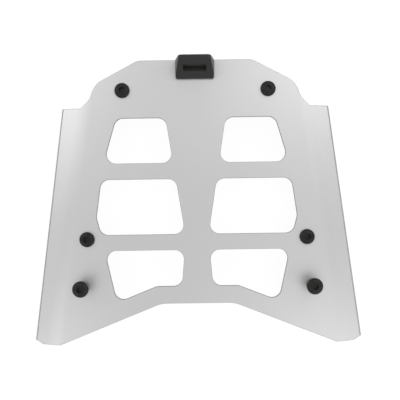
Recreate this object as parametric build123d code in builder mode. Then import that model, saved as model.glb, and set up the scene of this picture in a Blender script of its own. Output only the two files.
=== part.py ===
"""Motorcycle luggage rack: a folded aluminium carrier plate with its latch block, hook posts and fixings.

Frame: millimetres, X across the rack, Y from the notched seat end towards the latch end, Z up.
The origin lies under the middle of the rack, on the level of the screw ends.
"""

from build123d import *
from build123d.topology import SkipClean
import math
import os

# Sheet and its folds
sheet_thickness = 4.0
bend_top_radius = 56.0
flange_angle = 16.0
flange_reach = 27.3
flange_front_slant = 2.5
flange_corner_width = 8.7
flange_corner_length = 3.8
flange_edge_radius = 1.8

# Lengths along the plate, from the latch end to the tips beside the notch
rear_margin = 53.1
row_1_length = 41.7
rear_web = 14.9
row_2_length = 51.1
middle_web = 14.6
row_3_length = 33.4
notch_web = 15.9
notch_depth = 37.2

# Half-width of the rear edge, and the steps outwards from it to the shoulder, the waist, the ear and the tip
rear_edge_half = 52.9
shoulder_step = 40.2
waist_step = 4.4
ear_step = 8.4
tip_flare = 21.7
notch_floor_half = 33.7

# Steps forwards from the rear edge to the same corners, and their radii
shoulder_setback = 21.4
waist_setback = 13.6
ear_setback = 8.4
rear_corner_radius = 15.0
shoulder_radius = 20.0
waist_radius = 14.0
notch_radius = 30.0

# How far the folds start inside the ears and the tips
bend_rear_inset = 9.1
bend_front_inset = 2.6

# Windows, three on each side of the spine, with a border of sheet between each and the fold
spine_rear_half = 27.8
spine_front_half = 10.9
front_spine_half = 11.6
notch_spine_half = 14.4
row_1_rear_border = 24.5
row_1_front_border = 17.7
row_2_rear_border = 17.3
row_2_widest_border = 17.0
row_2_front_border = 23.3
row_2_neck_length = 16.2
row_3_rear_border = 28.2
row_3_tip_step = 10.8
row_3_kink_half = 37.8
window_radius = 8.7

# M8 button-head screws, washers and lock nuts
thread_radius = 3.95
thread_chamfer = 0.9
nut_clearance = 0.05
washer_clearance = 0.25
hole_clearance = 0.55
head_radius = 7.0
head_height = 4.4
head_rim_height = 1.2
head_top_radius = 3.4
socket_width = 5.0
socket_depth = 3.1
washer_radius = 8.0
washer_thickness = 1.6
nut_width = 13.0
nut_hex_height = 6.4
nut_collar_height = 1.6
nut_collar_step = 0.7
nut_collar_fillet = 1.0
nut_corner_slope = 30.0
fixing_screw_length = 25.0
free_thread_start = 1.5

# Places of the fixing screws and the hook posts
rear_fixing_inset = 25.7
rear_fixing_drop = 27.5
front_fixing_inset = 10.9
hook_inset = 12.7
front_fixing_setback = 3.8
hook_setback = 33.0
hook_head_radius = 7.4
bush_length = 17.0
bush_radius = 5.5
bush_edge_chamfer = 0.5

# Latch block with its moulded-in inserts and the screws that hold it from below
block_length = 17.8
block_height = 26.0
block_foot_height = 3.0
block_crest_length = 2.3
block_front_half = 17.5
block_rear_half = 18.7
block_crest_half = 14.4
block_crest_radius = 4.0
block_corner_chamfer = 2.0
block_edge_radius = 1.0
slot_half_width = 10.6
slot_rise = 9.4
slot_height = 8.8
slot_depth = 6.0
slot_corner_radius = 0.8
insert_radius = 4.0
insert_length = 6.0
insert_clearance = 0.05
latch_screw_spacing = 19.0
latch_screw_setback = 8.5
latch_thread_radius = 2.95
latch_screw_length = 10.0
latch_head_radius = 5.25
latch_head_height = 3.3
latch_head_rim_height = 0.9
latch_head_top_radius = 2.6
latch_socket_width = 4.0
latch_socket_depth = 2.1
latch_hole_clearance = 0.35
latch_washer_radius = 6.0

# Levels and stations worked out from the sizes above
plate_length = (
    rear_margin + row_1_length + rear_web + row_2_length + middle_web + row_3_length + notch_web + notch_depth
)
rear_y = plate_length / 2
row_1_rear_y = rear_y - rear_margin
row_1_front_y = row_1_rear_y - row_1_length
row_2_rear_y = row_1_front_y - rear_web
row_2_front_y = row_2_rear_y - row_2_length
row_2_widest_y = row_2_front_y + row_2_neck_length
row_3_rear_y = row_2_front_y - middle_web
row_3_front_y = row_3_rear_y - row_3_length
notch_floor_y = row_3_front_y - notch_web
front_y = notch_floor_y - notch_depth
underside_z = fixing_screw_length - sheet_thickness
plate_z = fixing_screw_length
hook_screw_length = fixing_screw_length + bush_length
shoulder_half = rear_edge_half + shoulder_step
waist_half = shoulder_half + waist_step
ear_half = waist_half + ear_step
tip_half = ear_half + tip_flare
bend_rear_half = ear_half - bend_rear_inset
bend_front_half = tip_half - bend_front_inset
shoulder_y = rear_y - shoulder_setback
waist_y = shoulder_y - waist_setback
ear_y = waist_y - ear_setback
rear_fixing_y = rear_y - rear_fixing_drop
front_fixing_y = row_2_front_y - front_fixing_setback
hook_y = row_3_rear_y - hook_setback
latch_screw_y = rear_y - latch_screw_setback
nut_height = nut_hex_height + nut_collar_height


def bend_half(y):
    """Half-width of the flat plate between its two fold lines, which spread towards the notch."""
    return bend_rear_half + (bend_front_half - bend_rear_half) * (ear_y - y) / (ear_y - front_y)


# The fold line of the right-hand flange, and the planes that the fold and the flange are drawn on
bend_start = Vector(bend_half(rear_y), rear_y, plate_z)
bend_run = Vector(bend_front_half, front_y, plate_z) - bend_start
bend_along = bend_run.normalized()
bend_outward = Vector(-bend_along.Y, bend_along.X, 0)
bend_length = bend_run.length - flange_reach * bend_along.X / bend_along.Y
flange_slope = math.radians(flange_angle)
bend_reach = bend_top_radius * math.sin(flange_slope)
bend_drop = bend_top_radius * (1 - math.cos(flange_slope))
bend_plane = Plane(origin=bend_start, x_dir=bend_outward, z_dir=bend_along)
flange_plane = Plane(
    origin=bend_start + bend_outward * bend_reach - Vector(0, 0, bend_drop),
    x_dir=bend_outward * math.cos(flange_slope) - Vector(0, 0, math.sin(flange_slope)),
    z_dir=bend_outward * math.sin(flange_slope) + Vector(0, 0, math.cos(flange_slope)),
)
flange_width = (flange_reach - bend_reach) / math.cos(flange_slope)
flange_tip = flange_plane.from_local_coords((flange_width, -bend_length, -sheet_thickness / 2))

# Screw places: the front fixings and the hook posts stand inside the folds
rear_fixing_half = shoulder_half - rear_fixing_inset
front_fixing_half = bend_half(front_fixing_y) - front_fixing_inset
hook_half = bend_half(hook_y) - hook_inset
fixing_places = {
    "rear_left": (-rear_fixing_half, rear_fixing_y),
    "rear_right": (rear_fixing_half, rear_fixing_y),
    "front_left": (-front_fixing_half, front_fixing_y),
    "front_right": (front_fixing_half, front_fixing_y),
}
hook_places = {
    "left": (-hook_half, hook_y),
    "right": (hook_half, hook_y),
}
latch_places = {
    "left": (-latch_screw_spacing / 2, latch_screw_y),
    "right": (latch_screw_spacing / 2, latch_screw_y),
}


def spine_half(y):
    """Half-width of the spine between the first two rows of windows, which tapers towards the notch."""
    share = (row_1_rear_y - y) / (row_1_rear_y - row_2_front_y)
    return spine_rear_half + share * (spine_front_half - spine_rear_half)


def radial_plane(place, z, up=1):
    """Upright plane through a screw's axis: x is the radius, and y runs up, or down with up=-1."""
    return Plane(origin=(*place, z), x_dir=(1, 0, 0), z_dir=(0, -up, 0))


def button_screw(place, seat_z, up, length, shank_radius, head, socket, free_length):
    """Button-head screw with its head on seat_z. The last free_length of its thread is a face of its own."""
    radius, height, rim_height, top_radius = head
    width, depth = socket
    rise, fall = height - rim_height, radius - top_radius
    dome_radius = (rise**2 + fall**2) / (2 * rise)
    profile_plane = radial_plane(place, seat_z, up)
    screw_axis = Axis((*place, seat_z), (0, 0, 1))
    with SkipClean():
        with BuildPart() as screw:
            with BuildSketch(profile_plane):
                with BuildLine():
                    Polyline(
                        (0, height),
                        (0, free_length - length),
                        (shank_radius, free_length - length),
                        (shank_radius, 0),
                        (radius, 0),
                        (radius, rim_height),
                    )
                    RadiusArc((radius, rim_height), (top_radius, height), -dome_radius)
                    Line((top_radius, height), (0, height))
                make_face()
            revolve(axis=screw_axis)
            with BuildSketch(profile_plane):
                with BuildLine():
                    Polyline(
                        (0, -length),
                        (shank_radius - thread_chamfer, -length),
                        (shank_radius, thread_chamfer - length),
                        (shank_radius, free_length - length),
                        (0, free_length - length),
                        close=True,
                    )
                make_face()
            revolve(axis=screw_axis)
            with BuildSketch(Plane(origin=(*place, seat_z + up * height), x_dir=(1, 0, 0), z_dir=(0, 0, up))):
                RegularPolygon(radius=width / 2, side_count=6, major_radius=False)
            extrude(amount=-depth, mode=Mode.SUBTRACT)
    return screw.part


def washer(place, top_z, outer_radius, shank_radius):
    """Plain washer on a screw, with its upper face at top_z."""
    with BuildPart() as ring:
        with BuildSketch(Plane.XY.offset(top_z)):
            with Locations(place):
                Circle(outer_radius)
                Circle(shank_radius + washer_clearance, mode=Mode.SUBTRACT)
        extrude(amount=-washer_thickness)
    return ring.part


def lock_nut(place, top_z):
    """Lock nut below top_z: a hexagon with chamfered corners, and the round collar of its locking ring."""
    half_width = nut_width / 2
    corner_radius = nut_width / math.sqrt(3)
    corner_height = (corner_radius - half_width) * math.tan(math.radians(nut_corner_slope))
    with BuildPart() as nut:
        with BuildSketch(Plane.XY.offset(top_z)):
            with Locations(place):
                RegularPolygon(radius=half_width, side_count=6, major_radius=False)
        extrude(amount=-nut_hex_height)
        with BuildSketch(radial_plane(place, top_z, -1)):
            with BuildLine():
                Polyline(
                    (0, 0),
                    (half_width, 0),
                    (corner_radius, corner_height),
                    (corner_radius, nut_hex_height - corner_height),
                    (half_width, nut_hex_height),
                    (0, nut_hex_height),
                    close=True,
                )
            make_face()
        revolve(axis=Axis((*place, top_z), (0, 0, 1)), mode=Mode.INTERSECT)
        with BuildSketch(Plane.XY.offset(top_z - nut_hex_height)):
            with Locations(place):
                Circle(half_width - nut_collar_step)
        extrude(amount=-nut_collar_height)
        fillet(nut.edges().filter_by(GeomType.CIRCLE).sort_by(Axis.Z)[0], nut_collar_fillet)
        with BuildSketch(Plane.XY.offset(top_z)):
            with Locations(place):
                Circle(thread_radius + nut_clearance)
        extrude(amount=-nut_height, mode=Mode.SUBTRACT)
    return nut.part


def corner(sketch, point):
    """The vertex of a sketch at one corner of its outline."""
    return sketch.vertices().sort_by_distance(point)[0]


def write(part, name):
    """Label one finished piece and write its file."""
    part.label = name
    export_step(part, f"parts/{name}.step")


os.makedirs("parts", exist_ok=True)

# Rack plate: the right half, from its fold and flange to the windows and screw holes, then mirrored
rear_corner_point = (rear_edge_half, rear_y)
shoulder_point = (shoulder_half, shoulder_y)
waist_point = (waist_half, waist_y)
notch_point = (notch_floor_half, notch_floor_y)
notch_slope = notch_depth / (tip_half - notch_floor_half)
row_3_outer_half = bend_half(row_3_rear_y) - row_3_rear_border
row_3_tip_half = row_3_outer_half - row_3_tip_step
row_3_tip_y = row_3_front_y - (row_3_tip_half - row_3_kink_half) * notch_slope
window_outlines = [
    [
        (spine_half(row_1_rear_y), row_1_rear_y),
        (bend_half(row_1_rear_y) - row_1_rear_border, row_1_rear_y),
        (bend_half(row_1_front_y) - row_1_front_border, row_1_front_y),
        (spine_half(row_1_front_y), row_1_front_y),
    ],
    [
        (spine_half(row_2_rear_y), row_2_rear_y),
        (bend_half(row_2_rear_y) - row_2_rear_border, row_2_rear_y),
        (bend_half(row_2_widest_y) - row_2_widest_border, row_2_widest_y),
        (bend_half(row_2_front_y) - row_2_front_border, row_2_front_y),
        (spine_half(row_2_front_y), row_2_front_y),
    ],
    [
        (front_spine_half, row_3_rear_y),
        (row_3_outer_half, row_3_rear_y),
        (row_3_tip_half, row_3_tip_y),
        (row_3_kink_half, row_3_front_y),
        (notch_spine_half, row_3_front_y),
    ],
]
with BuildPart() as rack_plate:
    # The folded sheet, drawn overlong: the fold, the flange and the flat beside the centre line
    with BuildSketch(bend_plane):
        with BuildLine():
            fold_centre = (0, -bend_top_radius)
            outside = CenterArc(fold_centre, bend_top_radius, 90, -flange_angle)
            inside = CenterArc(fold_centre, bend_top_radius - sheet_thickness, 90, -flange_angle)
            Line(outside @ 0, inside @ 0)
            Line(outside @ 1, inside @ 1)
        make_face()
    extrude(amount=bend_length)
    with BuildSketch(flange_plane):
        Rectangle(flange_width, bend_length, align=(Align.MIN, Align.MAX))
    extrude(amount=-sheet_thickness)
    with BuildSketch(Plane.XY.offset(plate_z)):
        with BuildLine():
            Polyline(
                (0, rear_y),
                (bend_half(rear_y), rear_y),
                (bend_front_half, front_y),
                (0, front_y),
                close=True,
            )
        make_face()
    extrude(amount=-sheet_thickness)
    # Trimmed to the outline, which runs out past the flange, then chamfered at the tip and rounded
    with BuildSketch(Plane.XY) as outline:
        with BuildLine():
            clear_half = tip_half + flange_reach
            clear_front_y = front_y + flange_reach * math.tan(math.radians(flange_front_slant))
            Polyline(
                (0, rear_y),
                rear_corner_point,
                shoulder_point,
                waist_point,
                (ear_half, ear_y),
                (clear_half, ear_y),
                (clear_half, clear_front_y),
                (tip_half, front_y),
                notch_point,
                (0, notch_floor_y),
                close=True,
            )
        make_face()
        fillet(corner(outline, rear_corner_point), rear_corner_radius)
        fillet(corner(outline, shoulder_point), shoulder_radius)
        fillet(corner(outline, waist_point), waist_radius)
        fillet(corner(outline, notch_point), notch_radius)
    extrude(amount=plate_z, mode=Mode.INTERSECT)
    tip_edge = rack_plate.edges().sort_by_distance(flange_tip)[0]
    front_face = rack_plate.faces().sort_by_distance(flange_tip - bend_outward * flange_corner_width)[0]
    chamfer(tip_edge, flange_corner_width, flange_corner_length, reference=front_face)
    outer_face = rack_plate.faces().sort_by(Axis(bend_start, bend_outward))[-1]
    fillet(outer_face.edges().sort_by(SortBy.LENGTH)[-2:], flange_edge_radius)
    # Windows and screw holes
    with BuildSketch(Plane.XY.offset(plate_z)) as windows:
        for corners in window_outlines:
            with BuildLine():
                Polyline(*corners, close=True)
            make_face()
        fillet(windows.vertices(), window_radius)
    extrude(amount=-sheet_thickness, mode=Mode.SUBTRACT)
    with BuildSketch(Plane.XY.offset(plate_z)):
        with Locations(fixing_places["rear_right"], fixing_places["front_right"], hook_places["right"]):
            Circle(thread_radius + hole_clearance)
        with Locations(latch_places["right"]):
            Circle(latch_thread_radius + latch_hole_clearance)
    extrude(amount=-sheet_thickness, mode=Mode.SUBTRACT)
    mirror(about=Plane.YZ)
write(rack_plate.part, "rack_plate")

# Latch block: the side, end and plan views cut to one wedge, then the slot and the insert pockets
block_front_y = rear_y - block_length
block_top_z = plate_z + block_height
slope_foot = Vector(0, block_front_y, plate_z + block_foot_height)
slope_run = Vector(0, rear_y - block_crest_length, block_top_z) - slope_foot
slope_plane = Plane(origin=slope_foot, x_dir=(1, 0, 0), z_dir=(0, -slope_run.Z, slope_run.Y))
with BuildPart() as latch_block:
    with BuildSketch(Plane.YZ):
        with BuildLine():
            Polyline(
                (block_front_y, plate_z),
                (block_front_y, plate_z + block_foot_height),
                (rear_y - block_crest_length, block_top_z),
                (rear_y, block_top_z),
                (rear_y, plate_z),
                close=True,
            )
        make_face()
    extrude(amount=block_rear_half, both=True)
    with BuildSketch(Plane.XZ.offset(-rear_y)) as end_view:
        with BuildLine():
            Polyline(
                (-block_rear_half, plate_z),
                (block_rear_half, plate_z),
                (block_crest_half, block_top_z),
                (-block_crest_half, block_top_z),
                close=True,
            )
        make_face()
        fillet(end_view.vertices().group_by(Axis.Z)[-1], block_crest_radius)
    extrude(amount=block_length, mode=Mode.INTERSECT)
    with BuildSketch(Plane.XY.offset(plate_z)):
        with BuildLine():
            Polyline(
                (-block_front_half, block_front_y),
                (block_front_half, block_front_y),
                (block_rear_half, rear_y - block_corner_chamfer),
                (block_rear_half - block_corner_chamfer, rear_y),
                (block_corner_chamfer - block_rear_half, rear_y),
                (-block_rear_half, rear_y - block_corner_chamfer),
                close=True,
            )
        make_face()
    extrude(amount=block_height, mode=Mode.INTERSECT)
    base_edges = latch_block.faces().sort_by(Axis.Z)[0].edges()
    fillet(latch_block.edges() - base_edges, block_edge_radius)
    with BuildSketch(slope_plane):
        with Locations((0, slot_rise + slot_height / 2)):
            RectangleRounded(2 * slot_half_width, slot_height, slot_corner_radius)
    extrude(amount=-slot_depth, mode=Mode.SUBTRACT)
    with BuildSketch(Plane.XY.offset(plate_z)):
        with Locations(*latch_places.values()):
            Circle(insert_radius + insert_clearance)
    extrude(amount=insert_length, mode=Mode.SUBTRACT)
write(latch_block.part, "latch_block")

# Fixing screws, each held in the plate by its washer and lock nut, with free thread below
nut_top_z = underside_z - washer_thickness
free_length = nut_top_z - nut_height - free_thread_start
button_head = (head_radius, head_height, head_rim_height, head_top_radius)
button_socket = (socket_width, socket_depth)
for name, place in fixing_places.items():
    screw = button_screw(
        place, plate_z, 1, fixing_screw_length, thread_radius, button_head, button_socket, free_length
    )
    write(screw, f"fixing_screw_{name}")
    write(washer(place, underside_z, washer_radius, thread_radius), f"fixing_washer_{name}")
    write(lock_nut(place, nut_top_z), f"fixing_nut_{name}")

# Hook posts: a bush under the wider head of a longer screw, held the same way
hook_head = (hook_head_radius, head_height, head_rim_height, head_top_radius)
for name, place in hook_places.items():
    screw = button_screw(
        place,
        plate_z + bush_length,
        1,
        hook_screw_length,
        thread_radius,
        hook_head,
        button_socket,
        free_length,
    )
    write(screw, f"hook_screw_{name}")
    with BuildPart() as hook_bush:
        with BuildSketch(Plane.XY.offset(plate_z)):
            with Locations(place):
                Circle(bush_radius)
        extrude(amount=bush_length)
        chamfer(hook_bush.edges().filter_by(GeomType.CIRCLE), bush_edge_chamfer)
        with BuildSketch(Plane.XY.offset(plate_z)):
            with Locations(place):
                Circle(thread_radius + washer_clearance)
        extrude(amount=bush_length, mode=Mode.SUBTRACT)
    write(hook_bush.part, f"hook_bush_{name}")
    write(washer(place, underside_z, washer_radius, thread_radius), f"hook_washer_{name}")
    write(lock_nut(place, nut_top_z), f"hook_nut_{name}")

# Latch screws from below, with their washers and the inserts that they run into
latch_head = (latch_head_radius, latch_head_height, latch_head_rim_height, latch_head_top_radius)
latch_socket = (latch_socket_width, latch_socket_depth)
for name, place in latch_places.items():
    screw = button_screw(
        place,
        underside_z - washer_thickness,
        -1,
        latch_screw_length,
        latch_thread_radius,
        latch_head,
        latch_socket,
        latch_screw_length / 2,
    )
    write(screw, f"latch_screw_{name}")
    write(washer(place, underside_z, latch_washer_radius, latch_thread_radius), f"latch_washer_{name}")
    with BuildPart() as latch_insert:
        with BuildSketch(Plane.XY.offset(plate_z)):
            with Locations(place):
                Circle(insert_radius)
                Circle(latch_thread_radius + nut_clearance, mode=Mode.SUBTRACT)
        extrude(amount=insert_length)
    write(latch_insert.part, f"latch_insert_{name}")
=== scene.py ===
"""Motorcycle luggage rack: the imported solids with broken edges, threads and finishes."""

import math

import bmesh
import bpy
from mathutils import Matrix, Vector


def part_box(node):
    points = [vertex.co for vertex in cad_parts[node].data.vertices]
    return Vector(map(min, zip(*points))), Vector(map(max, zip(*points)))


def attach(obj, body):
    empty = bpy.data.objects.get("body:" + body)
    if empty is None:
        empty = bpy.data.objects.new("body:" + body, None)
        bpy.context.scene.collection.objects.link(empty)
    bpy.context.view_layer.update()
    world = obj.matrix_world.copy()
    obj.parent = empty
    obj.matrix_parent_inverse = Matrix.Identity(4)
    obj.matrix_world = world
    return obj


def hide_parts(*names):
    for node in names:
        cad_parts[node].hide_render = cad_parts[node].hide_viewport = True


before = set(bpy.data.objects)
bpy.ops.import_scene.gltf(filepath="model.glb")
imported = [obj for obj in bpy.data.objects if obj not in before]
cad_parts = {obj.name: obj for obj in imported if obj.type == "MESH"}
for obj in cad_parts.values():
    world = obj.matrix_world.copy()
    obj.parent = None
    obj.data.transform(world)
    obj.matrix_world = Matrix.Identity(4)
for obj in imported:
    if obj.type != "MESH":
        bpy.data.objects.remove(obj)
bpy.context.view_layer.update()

MM = 0.001

# Edge breaks, as wide as the shortest edges of a piece leave room for
SHEET_EDGE_BREAK = 0.4 * MM
FASTENER_EDGE_BREAK = 0.15 * MM
WASHER_EDGE_BREAK = 0.2 * MM
BLOCK_EDGE_BREAK = 0.2 * MM
BREAK_SEGMENTS = 2
ROUND_PROFILE = 0.5

# Meshes: welding distance, and the angles that mark a flat face, a sharp edge and a shading crease
WELD_DISTANCE = 0.001 * MM
FLAT_ANGLE = math.radians(0.4)
SHARP_ANGLE = math.radians(30)
CREASE_ANGLE = math.radians(50)

# A face looks in a direction where its normal's share of that direction is above this
FACING = 0.9

# Latch block: least shares of its sloping faces' normals towards the seat and up, and the depths
# under the sloping face below which lie the floor of the slot and the rest of the slot's inside
SLOPE_TO_SEAT, SLOPE_UP = 0.5, 0.3
SLOT_FLOOR_DEPTH = 4.0 * MM
SLOT_MOUTH_DEPTH = 0.6 * MM

# M8 coarse thread, with the stations across one pitch as (share of the pitch, share of the depth)
THREAD_RADIUS = 3.95 * MM
THREAD_PITCH = 1.25 * MM
THREAD_DEPTH = 0.77 * MM
THREAD_CHAMFER = 0.9 * MM
THREAD_SEGMENTS = 40
THREAD_PROFILE = ((0, 1), (1 / 4, 1), (9 / 16, 0), (11 / 16, 0))

# Turns made below the end of a thread and cut off there, and the plain shank left under a head
SPARE_TURNS = 2
HEAD_STUB = 0.2 * MM

# How level the sheet is where its cut-edge finish and painted shade start, and where they are full
CUT_STARTS, CUT_FULL = 0.957, 0.93

# Gloss of the block's nylon, inside the slot too
NYLON_SPECULAR = 0.32

# Camera straight above the rack, and the size of its sensor
PHOTO_SIZE = 400
CAMERA_FOCUS = Vector((3.18, 1.47, 25.0)) * MM
CAMERA_HEIGHT = 650 * MM
CAMERA_ROLL = math.radians(-0.8)
FRAME_WIDTH = 0.9233 * MM * PHOTO_SIZE
SENSOR_WIDTH = 36

# Floor: half its width, its own glow, the grey that takes the shadow, and the grey that sends
# light back to the rack
FLOOR_HALF = 3.0
FLOOR_GLOW = 0.92
FLOOR_SHADE = 0.1
FLOOR_BOUNCE = 0.8

# Surroundings: brightness low down, between and overhead, and the elevations in degrees over which
# it falls and rises again
SKY_LOW, SKY_BETWEEN, SKY_TOP = 1.0, 0.421, 0.961
SKY_FALL = (38, 50)
SKY_RISE = (58, 72)

# Softboxes round the rack: azimuth from +X and elevation in degrees, distance in metres, and
# brightness, where white is 1
SOFTBOX_SIZE = 0.24
SOFTBOXES = {
    "right": (30.1, 38.0, 0.875, 2.532),
    "rear_right": (49.7, 50.0, 0.454, 1.253),
    "rear_left": (140.4, 41.3, 0.43, 1.123),
    "left": (161.9, 38.1, 0.9, 1.59),
    "front_left": (221.7, 38.0, 0.474, 1.179),
    "front": (301.6, 38.0, 0.349, 0.703),
    "front_right": (331.3, 38.0, 0.833, 1.903),
}


# Shader helpers


def feed(tree, socket, value):
    """Link a socket to the output of another node, or set it to a constant."""
    if isinstance(value, bpy.types.NodeSocket):
        tree.links.new(value, socket)
    else:
        socket.default_value = value


def node(tree, kind, inputs=None, **settings):
    """Add one shader node. Each input is a constant or the output of another node."""
    made = tree.nodes.new(kind)
    for key, value in settings.items():
        setattr(made, key, value)
    for key, value in (inputs or {}).items():
        feed(tree, made.inputs[key], value)
    return made


def math_node(tree, operation, *values):
    """The result of one arithmetic step."""
    return node(tree, "ShaderNodeMath", dict(enumerate(values)), operation=operation).outputs[0]


def noise(tree, place, scale=1.0, detail=2.0, roughness=0.5):
    """The value of a noise texture, from 0 to 1."""
    made = node(
        tree,
        "ShaderNodeTexNoise",
        {"Vector": place, "Scale": scale, "Detail": detail, "Roughness": roughness},
    )
    return made.outputs[0]


def stretched(tree, place, scale):
    """A place with each axis scaled by itself."""
    made = node(tree, "ShaderNodeVectorMath", {0: place, 1: scale}, operation="MULTIPLY")
    return made.outputs[0]


def spread(tree, value, low, high):
    """A value from 0 to 1 moved to the range from low to high."""
    made = node(tree, "ShaderNodeMapRange", {"Value": value, "To Min": low, "To Max": high})
    return made.outputs[0]


def ramp(tree, value, low, high):
    """A smooth step from 0 at low to 1 at high."""
    made = node(
        tree,
        "ShaderNodeMapRange",
        {"Value": value, "From Min": low, "From Max": high},
        interpolation_type="SMOOTHSTEP",
    )
    return made.outputs[0]


def blended(tree, factor, first, second):
    """A value between two others."""
    return node(tree, "ShaderNodeMix", {"Factor": factor, "A": first, "B": second}).outputs[0]


def mixed(tree, factor, first, second):
    """A colour between two others."""
    made = node(tree, "ShaderNodeMix", {"Factor": factor}, data_type="RGBA")
    for name, value in (("A", first), ("B", second)):
        socket = next(s for s in made.inputs if s.name == name and s.type == "RGBA")
        feed(tree, socket, value)
    return next(s for s in made.outputs if s.type == "RGBA")


def grey(value, warmth=0.0):
    """A grey that is short of blue by its warmth."""
    return (value, value, value * (1 - warmth), 1)


def bump(tree, height, strength, distance):
    """The normal that a height gives."""
    made = node(
        tree,
        "ShaderNodeBump",
        {"Height": height, "Strength": strength, "Distance": distance},
    )
    return made.outputs[0]


def new_material(name):
    """A material with its tree, its shader and its texture coordinates."""
    made = bpy.data.materials.new(name)
    made.use_nodes = True
    tree = made.node_tree
    shader = tree.nodes["Principled BSDF"]
    coordinates = node(tree, "ShaderNodeTexCoord")
    return made, tree, shader, coordinates


def connect(tree, shader, **values):
    """Set or link inputs of the shader, given with underscores for spaces."""
    for key, value in values.items():
        feed(tree, shader.inputs[key.replace("_", " ")], value)


# Finishes


def anodised_aluminium():
    """Satin sheet with a fine blasted grain, and cut edges with the marks of the beam, darker
    partly as painted shade.
    """
    made, tree, shader, coordinates = new_material("anodised_aluminium")
    place = coordinates.outputs["Object"]
    facing = node(tree, "ShaderNodeSeparateXYZ", {0: coordinates.outputs["Normal"]}).outputs["Z"]
    cut = ramp(tree, math_node(tree, "ABSOLUTE", facing), CUT_STARTS, CUT_FULL)
    cloud = noise(tree, place, scale=14.0, detail=3.0)
    pores = noise(tree, place, scale=900.0)
    grain = noise(tree, place, scale=3800.0)
    beam = noise(tree, stretched(tree, place, (2600.0, 2600.0, 90.0)), detail=3.0)
    face_colour = mixed(tree, cloud, grey(0.565), grey(0.595))
    # Darker grey on the cut edges and the rounded rims: partly the cut finish, partly painted
    # shade.
    cut_and_painted_shade_colour = mixed(tree, beam, grey(0.24, warmth=0.02), grey(0.34, warmth=0.02))
    face_rough = spread(tree, pores, low=0.42, high=0.48)
    cut_rough = spread(tree, beam, low=0.42, high=0.6)
    height = blended(tree, cut, grain, beam)
    connect(
        tree,
        shader,
        Base_Color=mixed(tree, cut, face_colour, cut_and_painted_shade_colour),
        Roughness=blended(tree, cut, face_rough, cut_rough),
        Metallic=1.0,
        Normal=bump(tree, height, strength=0.12, distance=0.03 * MM),
    )
    return made


def black_nylon():
    """Moulded plastic with a fine spark-eroded texture."""
    made, tree, shader, coordinates = new_material("black_nylon")
    place = coordinates.outputs["Object"]
    pits = noise(tree, place, scale=2200.0, detail=3.0, roughness=0.6)
    cloud = noise(tree, place, scale=120.0)
    connect(
        tree,
        shader,
        Base_Color=mixed(tree, cloud, grey(0.014, warmth=0.04), grey(0.018, warmth=0.04)),
        Roughness=spread(tree, pits, low=0.34, high=0.44),
        Specular_IOR_Level=NYLON_SPECULAR,
        Normal=bump(tree, pits, strength=0.25, distance=0.04 * MM),
    )
    return made


def painted_light_nylon():
    """The same plastic inside the slot, duller, and painted lighter grey as painted light in the
    shaded slot.
    """
    made, tree, shader, coordinates = new_material("painted_light_nylon")
    along_slot = stretched(tree, coordinates.outputs["Object"], (160.0, 900.0, 900.0))
    streaks = noise(tree, along_slot, detail=3.0, roughness=0.6)
    connect(
        tree,
        shader,
        # A lighter grey than the block outside: painted light in the shaded slot.
        Base_Color=mixed(tree, streaks, grey(0.03, warmth=0.04), grey(0.05, warmth=0.04)),
        Roughness=spread(tree, streaks, low=0.5, high=0.65),
        Specular_IOR_Level=NYLON_SPECULAR,
    )
    return made


def turned_steel():
    """Plain grey steel with fine turning rings round its axis."""
    made, tree, shader, coordinates = new_material("turned_steel")
    place = coordinates.outputs["Object"]
    rings = noise(tree, stretched(tree, place, (60.0, 60.0, 5200.0)))
    cloud = noise(tree, place, scale=300.0, detail=3.0, roughness=0.6)
    connect(
        tree,
        shader,
        Base_Color=mixed(tree, cloud, grey(0.16, warmth=0.02), grey(0.22, warmth=0.02)),
        Roughness=spread(tree, rings, low=0.3, high=0.46),
        Metallic=1.0,
        Normal=bump(tree, rings, strength=0.15, distance=0.02 * MM),
    )
    return made


def black_oxide():
    """Blackened steel, a little brighter where the coat is thin."""
    made, tree, shader, coordinates = new_material("black_oxide")
    place = coordinates.outputs["Object"]
    mottle = noise(tree, place, scale=700.0, detail=3.0, roughness=0.6)
    grain = noise(tree, place, scale=6000.0)
    connect(
        tree,
        shader,
        Base_Color=mixed(tree, mottle, grey(0.021, warmth=0.02), grey(0.036, warmth=0.03)),
        Roughness=spread(tree, mottle, low=0.32, high=0.46),
        Metallic=1.0,
        Normal=bump(tree, grain, strength=0.1, distance=0.02 * MM),
    )
    return made


def zinc_plate():
    """Bright zinc on steel, with a faint cool cloud in the plating."""
    made, tree, shader, coordinates = new_material("zinc_plate")
    place = coordinates.outputs["Object"]
    cloud = noise(tree, place, scale=260.0, detail=3.0, roughness=0.6)
    grain = noise(tree, place, scale=5200.0)
    connect(
        tree,
        shader,
        Base_Color=mixed(tree, cloud, (0.5, 0.51, 0.53, 1), (0.6, 0.61, 0.62, 1)),
        Roughness=spread(tree, cloud, low=0.24, high=0.38),
        Metallic=1.0,
        Normal=bump(tree, grain, strength=0.08, distance=0.02 * MM),
    )
    return made


def locking_ring():
    """Pale nylon ring in the collar of a lock nut."""
    made, tree, shader, coordinates = new_material("locking_ring")
    cloud = noise(tree, coordinates.outputs["Object"], scale=900.0)
    connect(
        tree,
        shader,
        Base_Color=mixed(tree, cloud, (0.62, 0.62, 0.58, 1), (0.7, 0.7, 0.67, 1)),
        Roughness=spread(tree, cloud, low=0.38, high=0.5),
    )
    return made


def turned_brass():
    """Brass with fine upright ridges, for the knurl of the inserts."""
    made, tree, shader, coordinates = new_material("turned_brass")
    upright = stretched(tree, coordinates.outputs["Object"], (2400.0, 2400.0, 120.0))
    ridges = noise(tree, upright, detail=1.0)
    connect(
        tree,
        shader,
        Base_Color=mixed(tree, ridges, (0.62, 0.43, 0.16, 1), (0.72, 0.54, 0.24, 1)),
        Roughness=spread(tree, ridges, low=0.26, high=0.4),
        Metallic=1.0,
        Normal=bump(tree, ridges, strength=0.3, distance=0.1 * MM),
    )
    return made


# Working meshes


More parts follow.
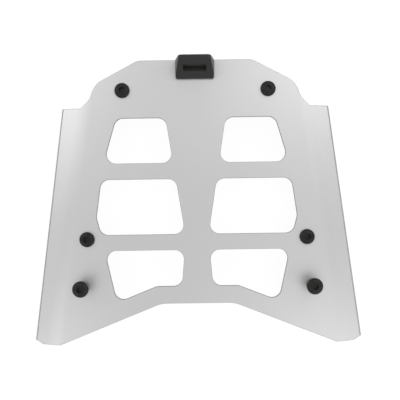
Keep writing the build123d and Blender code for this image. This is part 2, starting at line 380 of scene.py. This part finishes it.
def solid_copy(name):
    """A working copy of one node's mesh, welded, with its flat faces whole."""
    made = bmesh.new()
    made.from_mesh(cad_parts[name].data)
    bmesh.ops.remove_doubles(made, verts=made.verts, dist=WELD_DISTANCE)
    bmesh.ops.dissolve_limit(
        made,
        angle_limit=FLAT_ANGLE,
        use_dissolve_boundaries=False,
        verts=made.verts,
        edges=made.edges,
    )
    return made


def break_edges(made, width):
    """Round every sharp edge of a working mesh."""
    sharp = [e for e in made.edges if e.is_manifold and e.calc_face_angle() > SHARP_ANGLE]
    bmesh.ops.bevel(
        made,
        geom=sharp,
        offset=width,
        segments=BREAK_SEGMENTS,
        profile=ROUND_PROFILE,
        affect="EDGES",
        clamp_overlap=True,
    )


def break_rims(made, width):
    """Bevel the rims of a sheet's upper and lower skins, round its windows too."""
    for up in (1, -1):
        skin = [f for f in made.faces if up * f.normal.z > FACING]
        inset = bmesh.ops.inset_region(made, faces=skin, thickness=width, use_even_offset=False)
        band = inset["faces"]
        covered = set(skin) | set(band)
        band_edges = {e for f in band for e in f.edges}
        rim = [e for e in band_edges if any(f not in covered for f in e.link_faces)]
        for vert in {v for e in rim for v in e.verts}:
            vert.co.z -= up * width


def cut_off(made, height, keep_above):
    """Cut a working mesh level at a height, drop one side and close the cut."""
    cut = bmesh.ops.bisect_plane(
        made,
        geom=made.verts[:] + made.edges[:] + made.faces[:],
        plane_co=(0, 0, height),
        plane_no=(0, 0, 1),
        clear_inner=keep_above,
        clear_outer=not keep_above,
    )
    rim = [e for e in cut["geom_cut"] if isinstance(e, bmesh.types.BMEdge) and e.is_boundary]
    bmesh.ops.holes_fill(made, edges=rim)


def thread(centre, low, high):
    """A closed length of right-hand thread with a chamfered lower end."""
    made = bmesh.new()
    turns = math.ceil((high - low) / THREAD_PITCH) + SPARE_TURNS + 1
    rows = []
    for step in range(turns * THREAD_SEGMENTS + 1):
        angle = 2 * math.pi * step / THREAD_SEGMENTS
        row = []
        for share, cut in THREAD_PROFILE:
            z = low + THREAD_PITCH * (step / THREAD_SEGMENTS + share - SPARE_TURNS)
            chamfer_radius = THREAD_RADIUS - max(0.0, THREAD_CHAMFER - max(0.0, z - low))
            radius = min(THREAD_RADIUS - cut * THREAD_DEPTH, chamfer_radius)
            x = centre.x + radius * math.cos(angle)
            y = centre.y + radius * math.sin(angle)
            row.append(made.verts.new((x, y, z)))
        rows.append(row)
    last = len(THREAD_PROFILE) - 1
    for step in range(len(rows) - 1):
        here, there = rows[step], rows[step + 1]
        for k in range(last):
            made.faces.new((here[k], there[k], there[k + 1], here[k + 1]))
        turn_on = step + THREAD_SEGMENTS
        if turn_on + 1 < len(rows):
            made.faces.new((here[last], there[last], rows[turn_on + 1][0], rows[turn_on][0]))
    cut_off(made, low, keep_above=True)
    cut_off(made, high, keep_above=False)
    return made


def join(made, other):
    """Add another working mesh to the first."""
    mesh = bpy.data.meshes.new("joined")
    other.to_mesh(mesh)
    other.free()
    made.from_mesh(mesh)
    bpy.data.meshes.remove(mesh)


# Pieces


def piece(made, name, materials):
    """Turn a working mesh into the piece that stands for a node."""
    bmesh.ops.recalc_face_normals(made, faces=made.faces)
    for face in made.faces:
        face.smooth = True
    mesh = bpy.data.meshes.new(f"{name}_finished")
    made.to_mesh(mesh)
    made.free()
    mesh.set_sharp_from_angle(angle=CREASE_ANGLE)
    for material in materials:
        mesh.materials.append(material)
    thing = bpy.data.objects.new(f"{name}_finished", mesh)
    bpy.context.scene.collection.objects.link(thing)
    weighted = thing.modifiers.new("weighted_normals", "WEIGHTED_NORMAL")
    weighted.keep_sharp = True
    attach(thing, "root")
    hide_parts(name)


def finished(name, material, width):
    """A node with its edges broken."""
    made = solid_copy(name)
    break_edges(made, width)
    piece(made, name, [material])


def sheet(name, material):
    """The folded plate with its rims broken."""
    made = solid_copy(name)
    break_rims(made, SHEET_EDGE_BREAK)
    piece(made, name, [material])


def threaded_screw(name, seat_z, material):
    """A button-head screw: the head from its node, with a cut thread below it."""
    low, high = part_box(name)
    made = solid_copy(name)
    stub_z = seat_z - HEAD_STUB
    cut_off(made, stub_z, keep_above=True)
    break_edges(made, FASTENER_EDGE_BREAK)
    centre = (low + high) / 2
    join(made, thread(centre, low.z, stub_z))
    piece(made, name, [material])


def slotted_block(name, skin, painted_light):
    """The latch block, with the inside of the slot in its sloping face in the lighter nylon of
    painted light.
    """
    made = solid_copy(name)
    break_edges(made, BLOCK_EDGE_BREAK)
    sloping = [f for f in made.faces if f.normal.y < -SLOPE_TO_SEAT and f.normal.z > SLOPE_UP]
    facing = max(sloping, key=lambda f: f.calc_area()).normal.copy()
    outermost = max(facing.dot(v.co) for v in made.verts)

    def depth(face):
        return outermost - facing.dot(face.calc_center_median())

    found = [f for f in sloping if f.normal.dot(facing) > FACING and depth(f) > SLOT_FLOOR_DEPTH]
    inside = set(found)
    while found:
        face = found.pop()
        around = {other for edge in face.edges for other in edge.link_faces}
        fresh = {other for other in around - inside if depth(other) > SLOT_MOUTH_DEPTH}
        inside |= fresh
        found.extend(fresh)
    for face in made.faces:
        # Faces inside the slot take the second nylon, painted lighter as painted light.
        face.material_index = 1 if face in inside else 0
    piece(made, name, [skin, painted_light])


def nut(name, metal, ring):
    """A lock nut, with the flat end of its collar showing the locking ring."""
    end_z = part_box(name)[0].z
    made = solid_copy(name)
    break_edges(made, FASTENER_EDGE_BREAK)
    for face in made.faces:
        at_end = face.calc_center_median().z < end_z + FASTENER_EDGE_BREAK
        face.material_index = 1 if at_end and face.normal.z < -FACING else 0
    piece(made, name, [metal, ring])


# Studio


def seen_ray(tree):
    """1 for rays that show a surface to the camera, straight, in a reflection or through glass."""
    path = node(tree, "ShaderNodeLightPath").outputs
    seen = math_node(tree, "MAXIMUM", path["Is Camera Ray"], path["Is Glossy Ray"])
    return math_node(tree, "MAXIMUM", seen, path["Is Transmission Ray"])


def studio_floor():
    """A white floor that keeps a faint shadow."""
    mesh = bpy.data.meshes.new("floor")
    signs = ((-1, -1), (1, -1), (1, 1), (-1, 1))
    corners = [(x * FLOOR_HALF, y * FLOOR_HALF, 0) for x, y in signs]
    mesh.from_pydata(corners, [], [(0, 1, 2, 3)])
    floor = bpy.data.objects.new("floor", mesh)
    bpy.context.scene.collection.objects.link(floor)
    made, tree, shader, _ = new_material("studio_white")
    tree.nodes.remove(shader)
    glow = node(tree, "ShaderNodeEmission", {"Color": grey(1.0), "Strength": FLOOR_GLOW})
    shade = node(tree, "ShaderNodeBsdfDiffuse", {"Color": grey(FLOOR_SHADE)})
    shown = node(tree, "ShaderNodeAddShader", {0: glow.outputs[0], 1: shade.outputs[0]})
    bounce = node(tree, "ShaderNodeBsdfDiffuse", {"Color": grey(FLOOR_BOUNCE)})
    both = node(
        tree,
        "ShaderNodeMixShader",
        {0: seen_ray(tree), 1: bounce.outputs[0], 2: shown.outputs[0]},
    )
    tree.links.new(both.outputs[0], tree.nodes["Material Output"].inputs["Surface"])
    mesh.materials.append(made)


def studio_world():
    """White surroundings and a white ceiling, with a dim gap between them."""
    world = bpy.data.worlds.new("studio")
    world.use_nodes = True
    tree = world.node_tree
    direction = node(tree, "ShaderNodeTexCoord").outputs["Generated"]
    height = node(tree, "ShaderNodeSeparateXYZ", {0: direction}).outputs["Z"]
    fall, rise = (
        ramp(tree, height, *(math.sin(math.radians(elevation)) for elevation in change))
        for change in (SKY_FALL, SKY_RISE)
    )
    walls = spread(tree, fall, SKY_LOW, SKY_BETWEEN)
    ceiling = spread(tree, rise, 0.0, SKY_TOP - SKY_BETWEEN)
    background = tree.nodes["Background"]
    background.inputs["Color"].default_value = grey(1.0)
    tree.links.new(math_node(tree, "ADD", walls, ceiling), background.inputs["Strength"])
    bpy.context.scene.world = world


def softbox(name, azimuth, elevation, distance, brightness):
    """A square soft lamp that faces the middle of the plate's top."""
    around, up = math.radians(azimuth), math.radians(elevation)
    flat = math.cos(up)
    outward = Vector((flat * math.cos(around), flat * math.sin(around), math.sin(up)))
    data = bpy.data.lights.new(f"softbox_{name}", "AREA")
    data.size = SOFTBOX_SIZE
    data.energy = brightness * math.pi * SOFTBOX_SIZE**2
    lamp = bpy.data.objects.new(f"softbox_{name}", data)
    lamp.location = Vector((0, 0, plate_top)) + distance * outward
    lamp.rotation_euler = outward.to_track_quat("Z", "Y").to_euler()
    lamp.visible_camera = False
    bpy.context.scene.collection.objects.link(lamp)


def photo_camera():
    """A camera straight above the rack."""
    data = bpy.data.cameras.new("camera")
    data.sensor_width = SENSOR_WIDTH
    data.lens = SENSOR_WIDTH * CAMERA_HEIGHT / FRAME_WIDTH
    camera = bpy.data.objects.new("camera", data)
    camera.location = CAMERA_FOCUS + Vector((0, 0, CAMERA_HEIGHT))
    camera.rotation_euler = (0, 0, CAMERA_ROLL)
    bpy.context.scene.collection.objects.link(camera)
    bpy.context.scene.camera = camera


# The rack

aluminium = anodised_aluminium()
nylon = black_nylon()
# Nylon for inside the slot, painted lighter as painted light.
slot_nylon = painted_light_nylon()
steel = black_oxide()
bush_steel = turned_steel()
zinc = zinc_plate()
ring_nylon = locking_ring()
brass = turned_brass()

plate_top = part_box("rack_plate")[1].z

sheet("rack_plate", aluminium)
slotted_block("latch_block", nylon, slot_nylon)
for corner in ("rear_left", "rear_right", "front_left", "front_right"):
    threaded_screw(f"fixing_screw_{corner}", plate_top, steel)
    finished(f"fixing_washer_{corner}", zinc, WASHER_EDGE_BREAK)
    nut(f"fixing_nut_{corner}", zinc, ring_nylon)
for side in ("left", "right"):
    bush_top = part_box(f"hook_bush_{side}")[1].z
    threaded_screw(f"hook_screw_{side}", bush_top, steel)
    finished(f"hook_bush_{side}", bush_steel, FASTENER_EDGE_BREAK)
    finished(f"hook_washer_{side}", zinc, WASHER_EDGE_BREAK)
    nut(f"hook_nut_{side}", zinc, ring_nylon)
    finished(f"latch_screw_{side}", steel, FASTENER_EDGE_BREAK)
    finished(f"latch_washer_{side}", zinc, WASHER_EDGE_BREAK)
    finished(f"latch_insert_{side}", brass, FASTENER_EDGE_BREAK)

# The studio round it

studio_floor()
studio_world()
for name, settings in SOFTBOXES.items():
    softbox(name, *settings)
photo_camera()
bpy.context.scene.view_settings.view_transform = "Standard"
